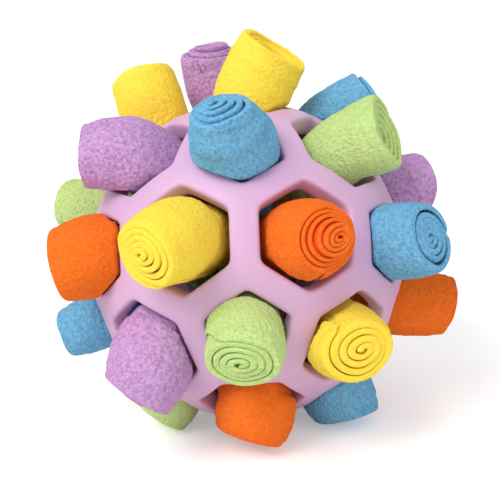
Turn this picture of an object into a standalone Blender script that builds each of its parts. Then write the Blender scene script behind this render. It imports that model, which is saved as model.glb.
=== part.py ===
"""A snuffle ball for dogs, with a rolled strip of fleece pushed into every opening of a rubber cage.

The cage is a hollow ball of ribs with twelve five-sided and twenty six-sided openings. Treats are
rolled up in the fleece, and the dog pulls a roll out along its axis. The ball stands on the rolls
round its lowest opening, with +Z up and the side with the five-sided opening at half height facing -Y.
"""

import math

import bmesh
import bpy
from mathutils import Matrix, Vector
from mathutils.bvhtree import BVHTree

# Cage
CAGE_RADIUS = 0.056
RIB_WIDTH = 0.0094
RIB_DEPTH = 0.007
BRANCH_SHARE = 0.34  # where two ribs part, along a side of the icosahedron they are cut from
ROUNDING_SHARE = 1.022  # the control cage against the rounded cage that runs inside it

# Fleece
FLEECE_THICKNESS = 0.0028
WRAP_GAP = 0.001
CORE_RADIUS = 0.0024
POINTS_A_TURN = 8
ROLL_RADIUS = 0.0141  # of a usual roll at its outer end
SQUEEZE_SHARE = 0.98  # of the half width of the opening that squeezes it
INNER_REACH = 0.037  # from the ball's centre to the rolls' inner ends
INNER_FILL_SHARE = 0.78  # of the room that two neighbours leave each other there
RIM_RISE = 0.0012  # from the ribs out to where a roll starts to widen and bend
PROUD = 0.018  # how far an outer end stands out of its opening
SPREAD_SHARE = 0.5  # of PROUD, over which a roll widens and swings back to its opening's middle
SEAT_LEAN_SHARE = 0.45  # of a roll's lean that it has inside the opening already
MOST_SEAT_LEAN_SHARES = {5: 0.35, 6: 0.58}  # of the angle out to the nearest rib, by its sides

# Fit and footing
CLEARANCE = 0.0003
FOOT_RISE = 0.001  # of the cage over the ground
CENTRE_HEIGHT = CAGE_RADIUS + FOOT_RISE
FLAT_DEPTH = 0.0005
OVERRUN = 0.02

# Colours in linear light, roughness
LOOKS = {
    "lilac_rubber": ((0.74, 0.46, 0.70), 0.5),
    "orange_fleece": ((0.92, 0.17, 0.02), 0.95),
    "yellow_fleece": ((0.97, 0.66, 0.06), 0.95),
    "blue_fleece": ((0.14, 0.41, 0.65), 0.95),
    "green_fleece": ((0.50, 0.76, 0.22), 0.95),
    "purple_fleece": ((0.46, 0.24, 0.52), 0.95),
}

# Each roll's name and colour, the side of the ball that it is on (degrees round from +X and up),
# how far its outer end leans off the middle of its opening and towards where (degrees; 0 is up,
# 90 is right, seen from outside), how far that end's face leans and towards where, its shares of
# PROUD and ROLL_RADIUS, the share of PROUD by which its core stands out past its outer turn, and
# the way its outer edge winds and ends (degrees, as the lean)
ROLLS = (
    ("front_right", "orange", (-68, 20), (13, -169), (12, 150), 0.56, 1.0, 0.5, 1, 180),
    ("front_low", "green", (-90, -11), (9, -108), (23, -142), 0.8, 1.0, 0.08, -1, -40),
    ("front_left", "yellow", (-112, 20), (20, -171), (34, -147), 0.99, 1.0, 0.16, -1, 170),
    ("front_top", "blue", (-90, 53), (11, -125), (17, -16), 0.92, 1.05, 0.2, 1, 15),
    ("low_right", "yellow", (-52, -20), (36, -52), (25, -62), 0.75, 1.0, 0.08, 1, -40),
    ("low_left", "purple", (-128, -20), (32, 173), (39, -151), 0.78, 1.1, 0.08, -1, 150),
    ("right", "blue", (-30, 11), (3, -113), (10, 16), 0.8, 1.0, -0.06, 1, 100),
    ("left", "orange", (-150, 11), (28, -140), (37, -127), 0.72, 1.1, 0.08, -1, -100),
    ("top_right", "green", (-30, 48), (28, 150), (29, 146), 0.86, 1.04, -0.16, 1, 60),
    ("top_left", "purple", (-150, 48), (46, -162), (54, -142), 1.0, 1.02, 0.1, -1, -60),
    ("top", "yellow", (0, 90), (33, 92), (35, 106), 1.17, 0.97, -0.16, 1, 75),
    ("side_right_low", "orange", (-8, -20), (21, 25), (11, 33), 1.0, 0.96, 0.08, -1, 100),
    ("side_left_low", "blue", (-172, -20), (5, -8), (13, 150), 0.72, 0.88, 0.08, 1, -90),
    ("side_right_high", "purple", (8, 20), (9, 90), (22, 143), 0.8, 0.94, 0.08, 1, 60),
    ("side_left_high", "green", (172, 20), (12, -138), (20, -122), 0.7, 0.9, 0.08, -1, -80),
    ("back_top_right", "blue", (30, 53), (34, -129), (31, -113), 1.1, 0.92, 0.08, -1, 170),
    ("back_top_left", "yellow", (150, 53), (16, -42), (15, -65), 1.2, 0.97, 0.08, 1, 180),
    ("back_top", "purple", (90, 48), (40, 27), (50, 15), 1.75, 1.0, 0.2, -1, 30),
    ("back_right_low", "green", (30, -11), (13, 140), (20, 140), 0.8, 0.96, 0.08, 1, 50),
    ("back_right_high", "yellow", (52, 20), (13, -41), (18, -40), 0.98, 1.02, 0.08, -1, 140),
    ("back_right", "purple", (67, -20), (16, 135), (24, 135), 0.96, 1.0, 0.08, 1, -70),
    ("back", "orange", (90, 11), (11, -34), (16, -35), 0.83, 0.98, 0.08, -1, 30),
    ("back_left", "green", (112, -20), (15, -124), (25, -125), 0.96, 1.03, 0.08, 1, 160),
    ("back_left_high", "orange", (128, 20), (14, 37), (20, 35), 0.98, 1.0, 0.08, -1, -110),
    ("back_left_low", "blue", (150, -11), (13, 150), (22, 150), 0.81, 0.96, 0.08, 1, 0),
    ("foot_front", "orange", (-90, -48), (37, -170), (32, -145), None, 1.05, 0.0, -1, 170),
    ("foot_front_right", "blue", (-30, -53), (14, 139), (20, -158), None, 0.98, 0.0, 1, 150),
    ("foot_front_left", "green", (-150, -53), (16, -176), (8, -113), None, 0.94, 0.0, -1, -150),
    ("foot_back", "yellow", (90, -53), (12, 180), (12, 180), None, 0.98, 0.0, 1, 30),
    ("foot_back_right", "purple", (30, -48), (23, 167), (20, 160), None, 1.02, 0.0, -1, -90),
    ("foot_back_left", "yellow", (150, -48), (23, -167), (20, -160), None, 1.0, 0.0, 1, 30),
    ("foot_middle", "blue", (0, -90), (0, 0), (0, 0), None, 1.0, 0.0, -1, 180),
)


def material(name):
    colour, roughness = LOOKS[name]
    found = bpy.data.materials.get(name)
    if found:
        return found
    made = bpy.data.materials.new(name)
    made.use_nodes = True
    shader = made.node_tree.nodes["Principled BSDF"]
    shader.inputs["Base Color"].default_value = (*colour, 1)
    shader.inputs["Roughness"].default_value = roughness
    shader.inputs["Metallic"].default_value = 0
    made.diffuse_color = (*colour, 1)
    return made


def direction(around, up):
    """The unit vector at these degrees round from +X and up from the ground."""
    around, up = math.radians(around), math.radians(up)
    return Vector((math.cos(around) * math.cos(up), math.sin(around) * math.cos(up), math.sin(up)))


def lattice():
    """An icosahedron with its corners cut off, on a unit ball, resting on a six-sided face."""
    net = bmesh.new()
    bmesh.ops.create_icosphere(net, subdivisions=1, radius=1)
    net.faces.ensure_lookup_table()
    face = net.faces[0]
    down = face.calc_center_median().normalized()
    front = (face.verts[0].co - down * face.verts[0].co.dot(down)).normalized()
    # A corner of the lowest face points to the back, so a corner of the ring above it faces -Y
    across = down.cross(front)
    turn = Matrix((across, front, -down)).to_4x4()
    bmesh.ops.transform(net, matrix=turn, verts=net.verts)
    side = (face.verts[0].co - face.verts[1].co).length
    bmesh.ops.bevel(net, geom=net.verts[:], offset=BRANCH_SHARE * side, offset_type="OFFSET",
                    affect="VERTICES", segments=1, profile=0.5, clamp_overlap=False)
    bmesh.ops.remove_doubles(net, verts=net.verts, dist=0.0001)
    for vertex in net.verts:
        vertex.co.normalize()
    net.normal_update()
    return net


def openings(net):
    """Each opening's direction, number of sides, and the angle from its middle to its nearest rib."""
    found = []
    for face in net.faces:
        middle = face.calc_center_median().normalized()
        ribs = [middle.angle((e.verts[0].co + e.verts[1].co).normalized()) for e in face.edges]
        found.append((middle, len(face.verts), min(ribs)))
    return found


def cage_mesh(net):
    """The middle surface of the ribs: each face of the lattice with its inside cut away."""
    net = net.copy()
    radius = CAGE_RADIUS * ROUNDING_SHARE
    bmesh.ops.scale(net, vec=(radius, radius, radius), verts=net.verts)
    pentagons = [f for f in net.faces if len(f.verts) == 5]
    hexagons = [f for f in net.faces if len(f.verts) == 6]
    for faces in (pentagons, hexagons):
        depth_share = faces[0].calc_center_median().length / radius
        bmesh.ops.inset_individual(net, faces=faces, thickness=RIB_WIDTH / 2 * depth_share)
    bmesh.ops.delete(net, geom=pentagons + hexagons, context="FACES")
    for vertex in net.verts:
        vertex.co = vertex.co.normalized() * radius
    net.normal_update()
    mesh = bpy.data.meshes.new("rubber_cage")
    net.to_mesh(mesh)
    net.free()
    return mesh


def smooth(thing):
    for polygon in thing.data.polygons:
        polygon.use_smooth = True


def add_cage(net, parts, frame):
    cage = bpy.data.objects.new("rubber_cage", cage_mesh(net))
    parts.objects.link(cage)
    cage.parent = frame
    cage.data.materials.append(material("lilac_rubber"))
    wall = cage.modifiers.new("Rib depth", "SOLIDIFY")
    wall.thickness = RIB_DEPTH
    wall.offset = -1
    wall.use_even_offset = True
    rounding = cage.modifiers.new("Rounded ribs", "SUBSURF")
    rounding.levels = 1
    rounding.render_levels = 1
    smooth(cage)
    return cage


def spiral(radius):
    """Radii along the strip at its outer end, from the core out, an eighth of a turn apart."""
    pitch = FLEECE_THICKNESS + WRAP_GAP
    outermost = radius - FLEECE_THICKNESS / 2
    steps = round((outermost - CORE_RADIUS) / pitch * POINTS_A_TURN)
    return [outermost - pitch * (steps - k) / POINTS_A_TURN for k in range(steps + 1)]


class Roll:
    """Where a roll's middle line runs, how wide it is along it, and the curve of its strip."""

    def __init__(self, cell, tip, face, share, width_share, dome_share, winding, edge):
        self.middle, sides, nearest_rib = cell
        self.seat_radius = CAGE_RADIUS - RIB_DEPTH / 2
        self.radius = ROLL_RADIUS * width_share
        half_width = self.seat_radius * math.sin(nearest_rib) - RIB_WIDTH / 2
        room = INNER_REACH * math.tan(nearest_rib) * INNER_FILL_SHARE
        self.waist_share = min(1, half_width * SQUEEZE_SHARE / self.radius)
        self.inner_share = room / self.radius
        up = Vector((0, 0, 1)) if abs(self.middle.z) < math.cos(nearest_rib) else Vector((0, 1, 0))
        up = (up - self.middle * up.dot(self.middle)).normalized()
        right = up.cross(self.middle)

        def leaning(lean, toward):
            lean, toward = math.radians(lean), math.radians(toward)
            return self.middle * math.cos(lean) + (up * math.cos(toward) + right * math.sin(toward)) * math.sin(lean)

        lean, toward = tip
        most_seat_lean = math.degrees(nearest_rib) * MOST_SEAT_LEAN_SHARES[sides]
        seat_lean = min(lean * SEAT_LEAN_SHARE, most_seat_lean)
        self.side = leaning(90, toward)
        self.way = leaning(lean, toward)
        self.face = leaning(*face)
        self.axis = leaning(seat_lean, toward)
        self.up = (up - self.axis * up.dot(self.axis)).normalized()
        self.right = self.up.cross(self.axis)
        self.inside = (self.seat_radius - INNER_REACH) / math.cos(math.radians(seat_lean))
        self.rim = RIB_DEPTH / 2 + RIM_RISE
        self.outside = RIB_DEPTH / 2 + PROUD * (share or 0)
        self.dome = PROUD * dome_share
        self.radii = spiral(self.radius)
        last = len(self.radii) - 1
        self.angles = [
            math.radians(edge) + winding * math.tau * (k - last) / POINTS_A_TURN
            for k in range(last + 1)
        ]
        self.shift = 0

    def place(self):
        """The roll's seat in the middle of the rib's depth, on its axis."""
        return self.middle * self.seat_radius + self.side * self.shift

    def matrix(self):
        turn = Matrix((self.right, self.up, self.axis)).transposed().to_4x4()
        return Matrix.Translation(self.place()) @ turn

    def stations(self):
        """From the flat spiral to its inner end, the ribs' outer side and its outer end."""
        local = Matrix((self.right, self.up, self.axis))
        bend = Vector((0, 0, 1)).rotation_difference(local @ self.face).to_matrix().to_4x4()
        # A short roll ends before it has widened and swung back over the middle of its opening
        spread = max(0, min(1, (self.outside - self.rim) / (PROUD * SPREAD_SHARE)))
        tip = self.way * self.outside - self.side * self.shift * spread
        tip_share = self.waist_share + (1 - self.waist_share) * spread
        made = []
        for spot, turn, share in (
            (Vector((0, 0, -self.inside)), Matrix.Identity(4), self.inner_share),
            (Vector((0, 0, self.rim)), Matrix.Identity(4), self.waist_share),
            (local @ tip, bend, tip_share),
        ):
            made.append(Matrix.Translation(spot) @ turn @ Matrix.Diagonal((share, share, 1, 1)))
        return made

    def points(self, offset, turns=None):
        """The flat spiral's points, this far outside the middle of the cloth."""
        first = 0 if turns is None else -turns * POINTS_A_TURN - 1
        for radius, angle in zip(self.radii[first:], self.angles[first:]):
            out = radius + offset
            yield Vector((out * math.sin(angle), out * math.cos(angle), 0))

    def skins(self):
        """Rings of points on the outside of the roll, from where it nears the ribs out to its end."""
        cover = FLEECE_THICKNESS / 2 / math.cos(math.pi / POINTS_A_TURN)
        ends = [self.matrix() @ station for station in self.stations()]
        flat = list(self.points(cover, 1))
        rings = [[end @ p for p in flat] for end in ends]
        slices = 12
        for low, high in zip(rings, rings[1:]):
            for n in range(slices + 1):
                yield [a.lerp(b, n / slices) for a, b in zip(low, high)]


def gap_to_cage(roll, tree):
    """The least gap between the roll and the ribs, on points along both edges of each facet."""
    least = CAGE_RADIUS
    for ring in roll.skins():
        for a, b in zip(ring, ring[1:]):
            for point in (a, (a + b) / 2, b):
                spot, normal, _, away = tree.find_nearest(point)
                inside = (point - spot).dot(normal) < 0
                least = min(least, -away if inside else away)
    return least


def seat(roll, tree):
    """Slides the roll sideways, the way it leans, until it lies against the ribs."""
    roll.shift = 0
    near, far = 0, roll.radius
    while far - near > CLEARANCE / 30:
        roll.shift = (near + far) / 2
        if gap_to_cage(roll, tree) > CLEARANCE:
            near = roll.shift
        else:
            far = roll.shift
    roll.shift = near


def lowest(roll):
    """The height of the lowest point of the roll's outer end."""
    cover = FLEECE_THICKNESS / 2 / math.cos(math.pi / POINTS_A_TURN)
    waist, end = [[roll.matrix() @ station @ p for p in roll.points(0)] for station in roll.stations()[1:]]
    heights = []
    for k, (inner, outer) in enumerate(zip(waist, end)):
        along_strip = end[min(k + 1, len(end) - 1)] - end[max(k - 1, 0)]
        normal = along_strip.cross(outer - inner).normalized()
        heights.append(outer.z - abs(normal.z) * cover)
    return min(heights)


def press(roll):
    """Lets the roll's outer end reach just under the ground, where it is cut flat."""
    ground = -CENTRE_HEIGHT - FLAT_DEPTH
    roll.outside = roll.rim + PROUD / 2
    for _ in range(12):
        roll.outside += (ground - lowest(roll)) / roll.way.z
    roll.outside = max(roll.outside, roll.rim + FLAT_DEPTH)


def least_gap(roll):
    """The least gap between neighbouring turns, on points at the roll's narrow inner end."""
    share = roll.inner_share
    half = FLEECE_THICKNESS / 2 / math.cos(math.pi / POINTS_A_TURN)
    outer = [p * share for p in roll.points(half)]
    inner = [p * share for p in roll.points(-half)]
    least = roll.radius
    for k in range(POINTS_A_TURN, len(outer)):
        for j in range(k - POINTS_A_TURN - 1, k - POINTS_A_TURN + 1):
            if j < 0 or j + 1 >= len(outer):
                continue
            a, b = outer[j], outer[j + 1]
            way = max(0, min(1, (inner[k] - a).dot(b - a) / (b - a).length_squared))
            least = min(least, (inner[k] - a - (b - a) * way).length)
    return least


def strip_mesh(name, roll):
    """The strip's middle surface: the spiral, drawn from the inner to the outer end."""
    net = bmesh.new()
    squeeze = net.verts.layers.deform.verify()
    ring = [net.verts.new(p) for p in roll.points(0)]
    edges = [net.edges.new(pair) for pair in zip(ring, ring[1:])]
    before = Matrix.Identity(4)
    for number, station in enumerate(roll.stations()):
        if number > 0:
            made = bmesh.ops.extrude_edge_only(net, edges=edges)["geom"]
            ring = [v for v in made if isinstance(v, bmesh.types.BMVert)]
            edges = [e for e in made if isinstance(e, bmesh.types.BMEdge) and all(v in ring for v in e.verts)]
        bmesh.ops.transform(net, matrix=station @ before.inverted(), verts=ring)
        for vertex in ring:
            vertex[squeeze][0] = station.col[0].length
        before = station
    for vertex in ring:
        flat = before.inverted() @ vertex.co
        vertex.co = before @ (flat + Vector((0, 0, roll.dome * (1 - flat.length / roll.radius))))
    bmesh.ops.recalc_face_normals(net, faces=net.faces)
    mesh = bpy.data.meshes.new(name)
    net.to_mesh(mesh)
    net.free()
    return mesh


def add_roll(name, colour, roll, parts, frame):
    thing = bpy.data.objects.new(name, strip_mesh(name, roll))
    parts.objects.link(thing)
    thing.parent = frame
    thing.matrix_local = roll.matrix()
    thing.data.materials.append(material(colour + "_fleece"))
    squeeze = thing.vertex_groups.new(name="Squeeze")
    cloth = thing.modifiers.new("Fleece", "SOLIDIFY")
    cloth.thickness = FLEECE_THICKNESS
    cloth.offset = 0
    cloth.use_even_offset = True
    cloth.vertex_group = squeeze.name
    smooth(thing)
    thing.data.set_sharp_from_angle(angle=math.radians(50))
    return thing


def add_ground_cutter(cutters, frame):
    bpy.ops.mesh.primitive_cube_add(size=1)
    ground = bpy.context.object
    ground.name = "ground_cutter"
    for other in ground.users_collection:
        other.objects.unlink(ground)
    cutters.objects.link(ground)
    wide = 2 * CAGE_RADIUS + OVERRUN
    ground.data.transform(Matrix.Diagonal((wide, wide, OVERRUN, 1)))
    ground.parent = frame
    ground.location = (0, 0, -CENTRE_HEIGHT - OVERRUN / 2)
    ground.hide_render = True
    ground.display_type = "WIRE"
    return ground


def cut_flat(thing, ground):
    flat = thing.modifiers.new("Pressed flat", "BOOLEAN")
    flat.operation = "DIFFERENCE"
    flat.solver = "EXACT"
    flat.object = ground


def centre(frame, parts):
    """Moves the ball so that the middle of its outline stands over the origin."""
    bpy.context.view_layer.update()
    graph = bpy.context.evaluated_depsgraph_get()
    xs, ys = [], []
    for thing in parts.objects:
        if thing.type != "MESH":
            continue
        made = thing.evaluated_get(graph)
        for vertex in made.data.vertices:
            spot = made.matrix_world @ vertex.co
            xs.append(spot.x)
            ys.append(spot.y)
    frame.location.x -= (min(xs) + max(xs)) / 2
    frame.location.y -= (min(ys) + max(ys)) / 2


def main():
    for thing in list(bpy.data.objects):
        bpy.data.objects.remove(thing, do_unlink=True)
    scene = bpy.context.scene
    parts = bpy.data.collections.new("snuffle_ball")
    cutters = bpy.data.collections.new("cutters")
    scene.collection.children.link(parts)
    scene.collection.children.link(cutters)
    frame = bpy.data.objects.new("ball_centre", None)
    parts.objects.link(frame)
    frame.location.z = CENTRE_HEIGHT

    net = lattice()
    cells = openings(net)
    cage = add_cage(net, parts, frame)
    ground = add_ground_cutter(cutters, frame)
    bpy.context.view_layer.update()
    graph = bpy.context.evaluated_depsgraph_get()
    shell = cage.evaluated_get(graph).data
    tree = BVHTree.FromPolygons([v.co for v in shell.vertices], [p.vertices for p in shell.polygons])
    print("cage radius", round(max(v.co.length for v in shell.vertices), 5))

    gaps = []
    for place, colour, side, tip, face, share, width_share, dome_share, winding, edge in ROLLS:
        cell = max(cells, key=lambda c: c[0].dot(direction(*side)))
        roll = Roll(cell, tip, face, share, width_share, dome_share, winding, edge)
        seat(roll, tree)
        if share is None:
            press(roll)
            seat(roll, tree)
            press(roll)
        thing = add_roll("fleece_roll_" + place, colour, roll, parts, frame)
        if share is None:
            cut_flat(thing, ground)
        gaps.append(least_gap(roll))
    print("least gap between turns", round(min(gaps), 5))
    centre(frame, parts)
    net.free()


main()
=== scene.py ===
import math
import bmesh
import bpy
import numpy as np
from mathutils import Matrix, Vector, noise


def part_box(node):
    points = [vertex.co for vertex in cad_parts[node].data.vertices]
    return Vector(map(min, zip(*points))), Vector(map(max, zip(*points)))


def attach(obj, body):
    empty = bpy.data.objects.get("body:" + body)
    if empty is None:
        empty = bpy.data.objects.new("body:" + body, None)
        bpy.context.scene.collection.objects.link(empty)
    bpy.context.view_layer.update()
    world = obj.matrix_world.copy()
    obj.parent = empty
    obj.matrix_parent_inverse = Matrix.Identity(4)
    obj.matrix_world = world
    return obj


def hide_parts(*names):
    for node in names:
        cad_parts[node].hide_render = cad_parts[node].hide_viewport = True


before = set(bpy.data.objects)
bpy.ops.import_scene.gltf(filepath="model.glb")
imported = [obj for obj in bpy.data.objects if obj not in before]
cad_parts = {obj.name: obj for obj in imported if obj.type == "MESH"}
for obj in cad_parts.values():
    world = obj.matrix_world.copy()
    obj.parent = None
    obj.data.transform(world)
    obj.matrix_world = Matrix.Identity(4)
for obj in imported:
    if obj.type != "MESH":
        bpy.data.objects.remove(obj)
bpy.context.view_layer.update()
cageLow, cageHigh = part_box("rubber_cage")
ballCentre = (cageLow + cageHigh) / 2
print("frame loaded, ball centre at", [round(c, 5) for c in ballCentre])


def addNode(tree, kind, inputs=None, **settings):
    node = tree.nodes.new(kind)
    for name, value in settings.items():
        setattr(node, name, value)
    for name, value in (inputs or {}).items():
        socket = node.inputs[name]
        if isinstance(value, bpy.types.NodeSocket):
            tree.links.new(value, socket)
        else:
            socket.default_value = value
    return node


def addSockets(tree, wanted):
    for name, way, kind, value in wanted:
        socket = tree.interface.new_socket(name, in_out=way, socket_type="NodeSocket" + kind)
        if value is not None:
            socket.default_value = value


def mathNode(tree, kind, first, second=None, third=None):
    values = {i: v for i, v in enumerate((first, second, third)) if v is not None}
    return addNode(tree, "ShaderNodeMath", values, operation=kind).outputs[0]


def noiseNode(tree, place, scale, detail=2.0, roughness=0.5, distortion=0.0):
    return addNode(tree, "ShaderNodeTexNoise", {
        "Vector": place, "Scale": scale, "Detail": detail, "Roughness": roughness,
        "Distortion": distortion}).outputs


def endMeshTree(tree, mesh, material):
    # smooth shading, real geometry and one material, as what the group puts out
    smooth = addNode(tree, "GeometryNodeSetShadeSmooth", {"Geometry": mesh})
    real = addNode(tree, "GeometryNodeRealizeInstances", {"Geometry": smooth.outputs[0]})
    painted = addNode(tree, "GeometryNodeSetMaterial", {"Geometry": real.outputs[0], "Material": material})
    addNode(tree, "NodeGroupOutput", {"Geometry": painted.outputs[0]})


def newMaterial(name):
    made = bpy.data.materials.new(name)
    made.use_nodes = True
    return made, made.node_tree, made.node_tree.nodes["Principled BSDF"]


def addObject(name, data):
    thing = bpy.data.objects.new(name, data)
    bpy.context.scene.collection.objects.link(thing)
    return thing


def smoothShade(mesh):
    mesh.polygons.foreach_set("use_smooth", [True] * len(mesh.polygons))


def bakeModifiers(thing):
    graph = bpy.context.evaluated_depsgraph_get()
    made = bpy.data.meshes.new_from_object(thing.evaluated_get(graph))
    thing.modifiers.clear()
    old = thing.data
    thing.data = made
    made.name = thing.name
    bpy.data.meshes.remove(old)


def smoothStep(x):
    x = np.clip(x, 0, 1)
    return x * x * (3 - 2 * x)


camera = {
    "elevation": 13.33, "around": 0.36, "roll": -2.44,
    "distance": 0.308, "lens": 61.6, "sensor": 36, "shift": (0.0069, 0.0185), "near": 0.01,
}


def addCamera():
    up, around = math.radians(camera["elevation"]), math.radians(camera["around"])
    toEye = Vector((math.sin(around) * math.cos(up), -math.cos(around) * math.cos(up), math.sin(up)))
    eye = addObject("camera", bpy.data.cameras.new("camera"))
    eye.location = ballCentre + toEye * camera["distance"]
    turn = toEye.to_track_quat("Z", "Y").to_matrix()
    eye.matrix_world = (Matrix.Translation(eye.location) @ turn.to_4x4()
                        @ Matrix.Rotation(math.radians(camera["roll"]), 4, "Z"))
    eye.data.sensor_fit = "HORIZONTAL"
    eye.data.sensor_width = camera["sensor"]
    eye.data.lens = camera["lens"]
    eye.data.shift_x, eye.data.shift_y = camera["shift"]
    eye.data.clip_start = camera["near"]
    bpy.context.scene.camera = eye


addCamera()
print("camera set")


pileShape = {
    # tufts: how often and how far their cells stray, in tufts, and how soft the cells' borders are
    "stray": 0.6, "strayReach": 1.6, "softness": 0.35, "napLevel": 0.55,
    # noises, as shares of the frequency that they are based on
    "fibreRoughness": 0.65, "fibreTwist": 0.5, "patchScale": 0.06, "nubScale": 0.85, "nubRoughness": 0.6,
    # what each adds to the pile, and between which levels it goes from the deep colour painted as shade to
    # the light colour
    "nubs": 2.4, "fibres": 0.7, "tufts": 0.4, "patches": 0.35, "levels": (-0.35, 0.65), "fibreHeight": 0.5,
}


def addTufts(tree, place, size):
    # height of the nap, in small round tufts set close together
    often = mathNode(tree, "DIVIDE", 1.0, size)
    stray = noiseNode(tree, place, mathNode(tree, "MULTIPLY", often, pileShape["stray"]), 1.0)["Color"]
    centred = addNode(tree, "ShaderNodeVectorMath", {
        0: stray, 1: (0.5, 0.5, 0.5)}, operation="SUBTRACT").outputs[0]
    moved = addNode(tree, "ShaderNodeVectorMath", {
        0: centred, "Scale": mathNode(tree, "MULTIPLY", size, pileShape["strayReach"])},
        operation="SCALE").outputs[0]
    spot = addNode(tree, "ShaderNodeVectorMath", {0: place, 1: moved}, operation="ADD").outputs[0]
    cells = addNode(tree, "ShaderNodeTexVoronoi", {
        "Vector": spot, "Scale": often, "Smoothness": pileShape["softness"], "Randomness": 1.0},
        feature="SMOOTH_F1")
    return mathNode(tree, "SUBTRACT", 1.0, cells.outputs["Distance"])


def pileGroup():
    # the nap's painted shade and height: light nubs over a deeper ground that is shade painted between
    # them, with random patches of tone and finer fibres across both
    tree = bpy.data.node_groups.new("fleecePile", "ShaderNodeTree")
    addSockets(tree, [
        ("Vector", "INPUT", "Vector", None), ("Tuft Size", "INPUT", "Float", 0.0012),
        ("Pilling", "INPUT", "Float", 1.0), ("Fibre Size", "INPUT", "Float", 0.0005),
        ("Shade", "OUTPUT", "Float", None), ("Height", "OUTPUT", "Float", None),
    ])
    start = addNode(tree, "NodeGroupInput").outputs
    often = mathNode(tree, "DIVIDE", 1.0, start["Fibre Size"])
    place, size = start["Vector"], start["Tuft Size"]
    fibres = noiseNode(tree, place, often, 3.0, pileShape["fibreRoughness"], pileShape["fibreTwist"])["Fac"]
    patches = noiseNode(tree, place, mathNode(tree, "MULTIPLY", often, pileShape["patchScale"]))["Fac"]
    tufts = addTufts(tree, place, size)
    nubs = noiseNode(tree, place, mathNode(tree, "DIVIDE", pileShape["nubScale"], size), 2.0,
                     pileShape["nubRoughness"])["Fac"]

    def around(noiseValue):
        return mathNode(tree, "SUBTRACT", noiseValue, 0.5)

    raised = mathNode(tree, "MULTIPLY_ADD", around(fibres), pileShape["fibres"],
                      mathNode(tree, "MULTIPLY", tufts, pileShape["tufts"]))
    mixed = mathNode(tree, "MULTIPLY_ADD", around(nubs), pileShape["nubs"], raised)
    tops = addNode(tree, "ShaderNodeMapRange", {
        "Value": mixed, "From Min": pileShape["levels"][0], "From Max": pileShape["levels"][1]},
        interpolation_type="SMOOTHSTEP").outputs["Result"]
    even = mathNode(tree, "MULTIPLY_ADD", around(patches), pileShape["patches"], tops)
    # painted shade: how far the colour falls towards the deeper one in the crevices between the nubs, with
    # the random patches and fibres as tone
    lower = mathNode(tree, "MULTIPLY", mathNode(tree, "SUBTRACT", 1.0, even), start["Pilling"])
    shade = mathNode(tree, "SUBTRACT", 1.0, lower)
    height = mathNode(tree, "MULTIPLY_ADD", fibres, pileShape["fibreHeight"], mixed)
    addNode(tree, "NodeGroupOutput", {"Shade": shade, "Height": height})
    return tree


fleeceLook = {
    # colour of the lit tufts, darker colour painted as shade down between them, how much of that painted
    # shade and random tone shows, bump
    "orange": {"light": (0.98, 0.205, 0.020), "deep": (0.88, 0.054, 0.005), "toneAndShade": 0.34, "bump": 0.8},
    "yellow": {"light": (1.0, 0.77, 0.082), "deep": (0.92, 0.48, 0.015), "toneAndShade": 0.3, "bump": 0.5},
    "blue": {"light": (0.215, 0.54, 0.80), "deep": (0.045, 0.20, 0.43), "toneAndShade": 0.52, "bump": 0.9},
    "green": {"light": (0.67, 0.87, 0.33), "deep": (0.27, 0.48, 0.11), "toneAndShade": 0.32, "bump": 1.0},
    "purple": {"light": (0.70, 0.405, 0.74), "deep": (0.24, 0.090, 0.30), "toneAndShade": 0.54, "bump": 0.9},
    "tuft": 0.00095, "fibre": 0.0004, "roughness": 0.92, "sheen": 0.25, "sheenRoughness": 0.45,
    "specular": 0.15, "bumpDepth": 0.0004,
}
pile = pileGroup()


def fleeceMaterial(colour):
    look = fleeceLook[colour]
    made, tree, shader = newMaterial(colour + "Fleece")
    place = addNode(tree, "ShaderNodeTexCoord").outputs["Object"]
    cloth = addNode(tree, "ShaderNodeGroup", node_tree=pile)
    tree.links.new(place, cloth.inputs["Vector"])
    cloth.inputs["Tuft Size"].default_value = fleeceLook["tuft"]
    cloth.inputs["Fibre Size"].default_value = fleeceLook["fibre"]
    cloth.inputs["Pilling"].default_value = look["toneAndShade"]
    # the deeper colour is also painted as shade wherever the cloth lies between two turns
    fold = addNode(tree, "ShaderNodeAttribute", attribute_name="fold").outputs["Fac"]
    opened = mathNode(tree, "SUBTRACT", 1.0, fold)
    lit = mathNode(tree, "MULTIPLY", cloth.outputs["Shade"], opened)
    # painted shade: the lit colour on the tufts falls to the deeper colour in the crevices between them
    paint = addNode(tree, "ShaderNodeMix", data_type="RGBA")
    tree.links.new(lit, paint.inputs["Factor"])
    paint.inputs["A"].default_value = (*look["deep"], 1)
    paint.inputs["B"].default_value = (*look["light"], 1)
    tree.links.new(paint.outputs["Result"], shader.inputs["Base Color"])
    bump = addNode(tree, "ShaderNodeBump", {
        "Strength": look["bump"], "Distance": fleeceLook["bumpDepth"], "Height": cloth.outputs["Height"]})
    tree.links.new(bump.outputs["Normal"], shader.inputs["Normal"])
    shader.inputs["Roughness"].default_value = fleeceLook["roughness"]
    shader.inputs["Sheen Weight"].default_value = fleeceLook["sheen"]
    shader.inputs["Sheen Roughness"].default_value = fleeceLook["sheenRoughness"]
    shader.inputs["Sheen Tint"].default_value = (*look["light"], 1)
    shader.inputs["Specular IOR Level"].default_value = fleeceLook["specular"]
    return made


rubberLook = {
    "dark": (0.61, 0.375, 0.59), "light": (0.66, 0.42, 0.635), "clouds": 55.0, "skin": 900.0,
    "roughness": (0.38, 0.52), "bump": 0.08, "bumpDepth": 0.0002,
    "subsurface": 0.25, "subsurfaceRadius": (1.0, 0.35, 0.5), "subsurfaceScale": 0.003,
}


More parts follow.
